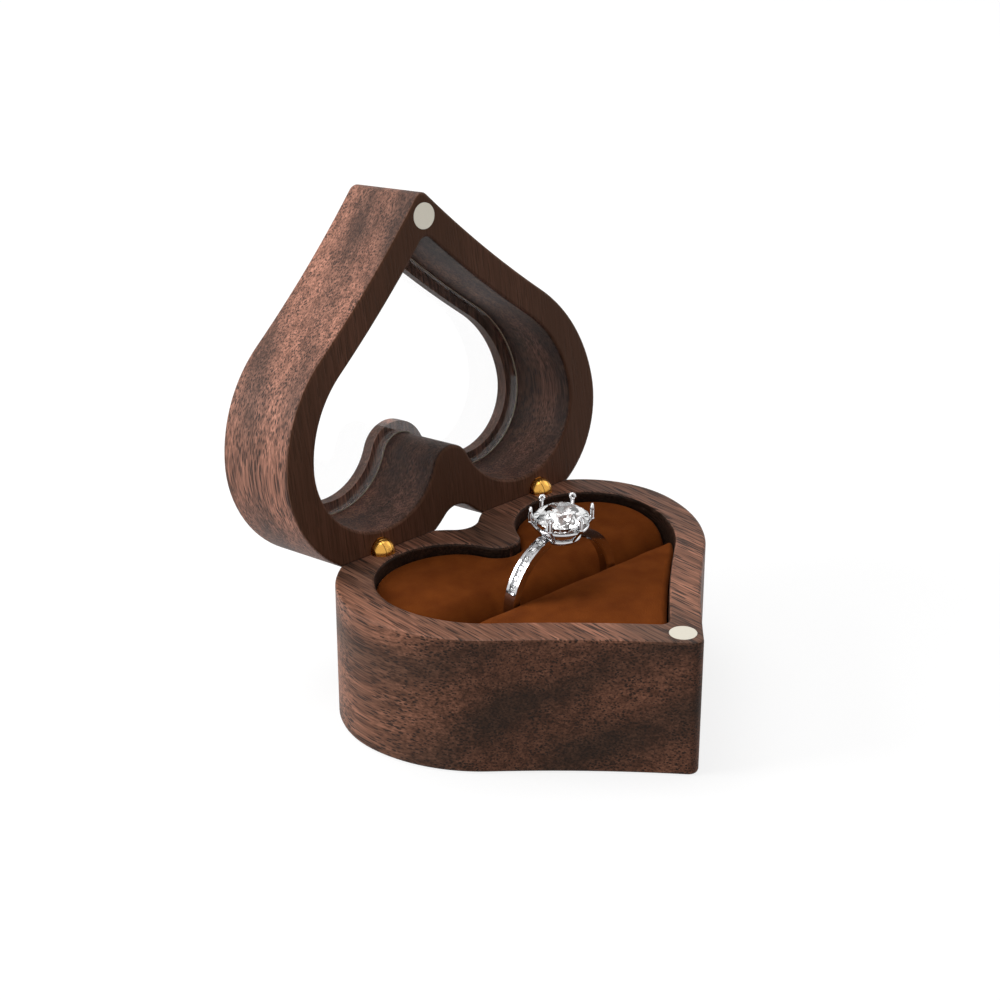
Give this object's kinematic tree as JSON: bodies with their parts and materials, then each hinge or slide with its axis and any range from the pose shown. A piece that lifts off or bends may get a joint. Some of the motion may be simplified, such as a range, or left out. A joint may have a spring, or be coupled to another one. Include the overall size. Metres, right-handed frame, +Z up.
{
  "type": "ring display box",
  "caption": "Heart-shaped walnut ring box with a hinged window lid, suede cushions and a stone-set ring standing in the slot.",
  "frame": {"origin": "middle of the flat underside of the base", "axes": "+Z up; the tip of the heart points to -Y; the lobes and the hinges are at +Y; +X is to the right seen from the tip"},
  "size_m": [0.06, 0.0739, 0.071],
  "materials": {
    "walnut": "satin",
    "clear_pane": "clear",
    "nickel": "satin",
    "brass": "polished",
    "suede": "matt",
    "white_gold": "polished",
    "stone": "faceted"
  },
  "bodies": {
    "base": {"base_body": "walnut", "base_magnet": "nickel", "base_barrel_left": "brass", "base_barrel_right": "brass", "hinge_pin_left": "brass", "hinge_pin_right": "brass", "front_cushion": "suede", "rear_cushion": "suede"},
    "lid": {"lid_frame": "walnut", "window_pane": "clear_pane", "lid_magnet": "nickel", "lid_barrel_left": "brass", "lid_barrel_right": "brass"},
    "ring": {"ring_band": "white_gold", "ring_head": "white_gold", "main_stone": "stone", "side_stones_left": "stone", "side_stones_right": "stone"}
  },
  "joints": [
    {"name": "lid_hinge", "type": "hinge", "parent": "base", "child": "lid", "pos_m": [0, 0.0238, 0.02125], "axis": [-1, 0, 0], "range_deg": [-98.9, 0]},
    {"name": "ring_lift", "type": "slide", "parent": "base", "child": "ring", "axis": [0, 0, 1], "range_m": [0, 0.03]}
  ]
}
